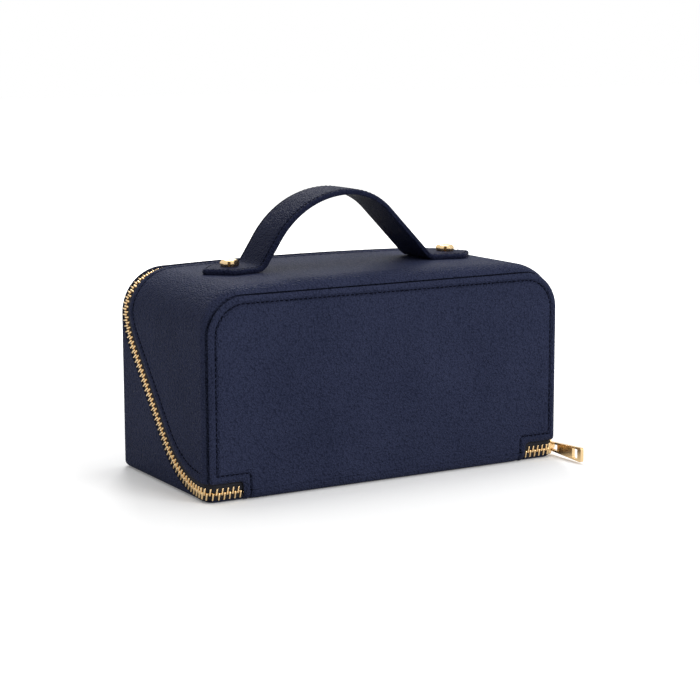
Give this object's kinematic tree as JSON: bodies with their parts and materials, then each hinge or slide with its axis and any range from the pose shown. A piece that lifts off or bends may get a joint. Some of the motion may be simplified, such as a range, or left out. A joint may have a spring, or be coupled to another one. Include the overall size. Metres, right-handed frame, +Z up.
{
  "type": "leather jewellery case",
  "caption": "Rounded leather jewellery case: its front and top fold down as a lid on a leather hinge, with a wrap-round metal zip, a swinging zip pull and a screwed strap handle.",
  "frame": {"origin": "middle of the flat bottom face, on the surface the case stands on", "axes": "+X to the right along the width, seen from the front; +Y from the front to the back; +Z up"},
  "size_m": [0.248, 0.143, 0.171],
  "materials": {
    "navy_leather": "pebbled, satin",
    "gold_metal": "polished pale gold",
    "zip_tape": "woven, matt",
    "grey_board": "plain board, matt",
    "foam": "thin foam, matt",
    "suede_lining": "brushed, matt"
  },
  "bodies": {
    "base": {"base_cover": "navy_leather", "base_padding": "foam", "bottom_board": "grey_board", "back_board": "grey_board", "base_left_board": "grey_board", "base_right_board": "grey_board", "base_lining": "suede_lining", "fold_hinge": "navy_leather", "jewellery_tray": "suede_lining", "tray_dividers": "suede_lining", "ring_rolls": "suede_lining", "lower_zip_tape": "zip_tape", "lower_zip_teeth": "gold_metal", "zip_end_stops": "gold_metal"},
    "lid": {"lid_cover": "navy_leather", "front_panel": "navy_leather", "front_board": "grey_board", "front_padding": "foam", "top_padding": "foam", "top_board": "grey_board", "lid_left_board": "grey_board", "lid_right_board": "grey_board", "lid_lining": "suede_lining", "lid_pocket": "suede_lining", "upper_zip_tape": "zip_tape", "upper_zip_teeth": "gold_metal", "handle_strap": "navy_leather", "handle_core": "grey_board", "handle_under_leather": "navy_leather", "handle_screws": "gold_metal", "handle_posts": "gold_metal", "handle_backing_plates": "grey_board"},
    "slider": {"zip_slider": "gold_metal", "slider_bridge": "gold_metal"},
    "pull": {"zip_pull": "gold_metal"}
  },
  "joints": [
    {"name": "lid_fold", "type": "hinge", "parent": "base", "child": "lid", "pos_m": [0, -0.054, 0.006], "axis": [1, 0, 0], "range_deg": [0, 90], "deforming": ["fold_hinge", "lower_zip_tape", "upper_zip_tape", "lower_zip_teeth", "upper_zip_teeth"]},
    {"name": "slider_travel", "type": "hinge", "parent": "base", "child": "slider", "pos_m": [0, -0.05, 0.0704], "axis": [1, 0, 0], "range_deg": [0, 47], "deforming": ["lower_zip_tape", "upper_zip_tape", "lower_zip_teeth", "upper_zip_teeth"]},
    {"name": "pull_swing", "type": "hinge", "parent": "slider", "child": "pull", "pos_m": [0.12425, -0.05, 0.00537], "axis": [0, 0, 1], "range_deg": [0, 175]}
  ]
}
